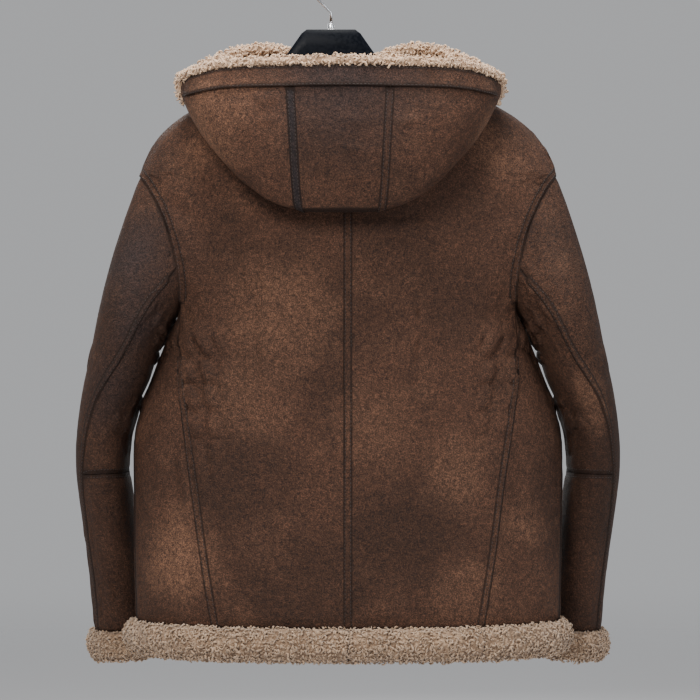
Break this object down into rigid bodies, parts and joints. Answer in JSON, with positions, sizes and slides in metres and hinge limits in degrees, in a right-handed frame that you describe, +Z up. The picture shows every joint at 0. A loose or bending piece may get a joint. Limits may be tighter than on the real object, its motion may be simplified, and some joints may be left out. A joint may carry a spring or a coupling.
{
  "type": "hooded leather jacket on a hanger",
  "caption": "Closed shearling jacket with a hood hanging down its back, long sleeves and wool edges, on a wide-shoulder hanger with a wire hook.",
  "frame": {"origin": "inside of the crown of the hanger's hook, where it rests on a rail", "axes": "+Z up, -Y towards the jacket's front, +X towards the wearer's left"},
  "size_m": [0.6836, 0.3576, 0.867],
  "materials": {
    "leather": "mottled brown, distressed, satin",
    "sleeve_leather": "darker mottled brown, distressed, satin",
    "seam_tape": "dark lapped seam strips",
    "wool": "curly beige sheep's wool",
    "horn": "dark horn-like buttons",
    "hanger_plastic": "near-black satin",
    "hook_steel": "bright wire"
  },
  "bodies": {
    "root": {"back_left": "leather", "back_right": "leather", "side_left": "leather", "side_right": "leather", "front_left": "leather", "front_right": "leather", "hood_centre": "leather", "hood_side_left": "leather", "hood_side_right": "leather", "front_fly": "leather", "upper_sleeve_left": "sleeve_leather", "upper_sleeve_right": "sleeve_leather", "under_sleeve_left": "sleeve_leather", "under_sleeve_right": "sleeve_leather", "lower_under_sleeve_left": "sleeve_leather", "lower_under_sleeve_right": "sleeve_leather", "hood_binding": "seam_tape", "tape_centre_back": "seam_tape", "tape_slanted_left": "seam_tape", "tape_slanted_right": "seam_tape", "tape_sleeve_left": "seam_tape", "tape_sleeve_right": "seam_tape", "tape_hood_left": "seam_tape", "tape_hood_right": "seam_tape", "tape_armhole_left": "seam_tape", "tape_armhole_right": "seam_tape", "hood_wool_edge": "wool", "hem_wool_back_left": "wool", "hem_wool_back_right": "wool", "hem_wool_side_left": "wool", "hem_wool_side_right": "wool", "hem_wool_front_left": "wool", "hem_wool_front_right": "wool", "cuff_wool_left": "wool", "cuff_wool_right": "wool", "button_1": "horn", "button_2": "horn", "button_3": "horn", "button_4": "horn", "button_5": "horn", "hanger_block": "hanger_plastic", "hook_collar": "hook_steel", "hook_wire": "hook_steel"}
  },
  "joints": []
}
